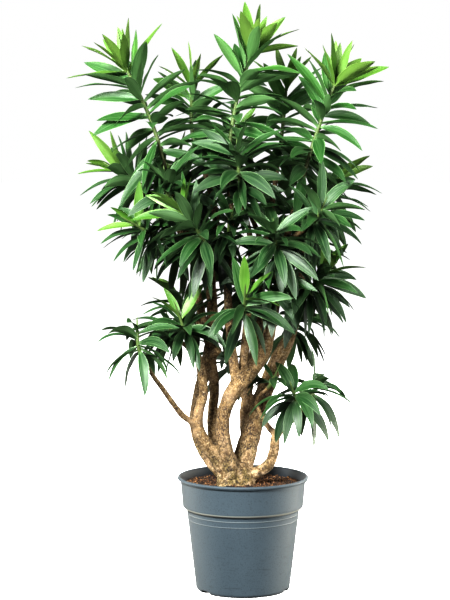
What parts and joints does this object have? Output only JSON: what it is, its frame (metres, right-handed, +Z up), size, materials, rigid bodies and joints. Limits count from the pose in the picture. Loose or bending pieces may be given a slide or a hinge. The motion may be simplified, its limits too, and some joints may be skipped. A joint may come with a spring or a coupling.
{
  "type": "potted dracaena",
  "caption": "Branched, multi-stemmed dracaena with narrow dark green blades and bright young tips, standing in soil in a round, tapered nursery pot.",
  "frame": {"origin": "centre of the pot's flat underside", "axes": "+Z up along the pot's axis; the pictured side faces -Y, with +X to its right"},
  "size_m": [0.7758, 0.6006, 1.4334],
  "materials": {
    "pot_plastic": "satin",
    "peat": "matte",
    "bark": "matte",
    "dark_leaf": "satin",
    "young_leaf": "satin"
  },
  "bodies": {
    "root": {"pot": "pot_plastic", "soil": "peat", "wood": "bark", "leaves_back_centre": "dark_leaf", "leaves_back_left": "dark_leaf", "leaves_back_left_top": "dark_leaf", "leaves_back_low": "dark_leaf", "leaves_back_low_centre": "dark_leaf", "leaves_back_low_right": "dark_leaf", "leaves_back_mid_left": "dark_leaf", "leaves_back_mid_right": "dark_leaf", "leaves_back_right": "dark_leaf", "leaves_back_right_top": "dark_leaf", "leaves_centre_left": "dark_leaf", "leaves_centre_low": "dark_leaf", "leaves_crown": "dark_leaf", "leaves_deep_left": "dark_leaf", "leaves_deep_right": "dark_leaf", "leaves_far_left": "dark_leaf", "leaves_front_centre": "dark_leaf", "leaves_inner_centre": "dark_leaf", "leaves_inner_left": "dark_leaf", "leaves_inner_right": "dark_leaf", "leaves_left_low_mid": "dark_leaf", "leaves_left_mid": "dark_leaf", "leaves_left_top": "dark_leaf", "leaves_low_left": "dark_leaf", "leaves_low_left_side": "dark_leaf", "leaves_low_right_front": "dark_leaf", "leaves_low_right_inner": "dark_leaf", "leaves_low_right_side": "dark_leaf", "leaves_middle_left": "dark_leaf", "leaves_middle_right": "dark_leaf", "leaves_pale_left": "dark_leaf", "leaves_right_low": "dark_leaf", "leaves_right_mid": "dark_leaf", "leaves_right_top": "dark_leaf", "young_back_centre": "young_leaf", "young_back_left": "young_leaf", "young_back_left_top": "young_leaf", "young_back_low_centre": "young_leaf", "young_back_low_right": "young_leaf", "young_back_mid_left": "young_leaf", "young_back_mid_right": "young_leaf", "young_back_right": "young_leaf", "young_back_right_top": "young_leaf", "young_centre_left": "young_leaf", "young_centre_low": "young_leaf", "young_crown": "young_leaf", "young_left_low_mid": "young_leaf", "young_left_mid": "young_leaf", "young_left_top": "young_leaf", "young_low_left": "young_leaf", "young_pale_left": "young_leaf", "young_right_low": "young_leaf", "young_right_mid": "young_leaf", "young_right_top": "young_leaf"}
  },
  "joints": []
}
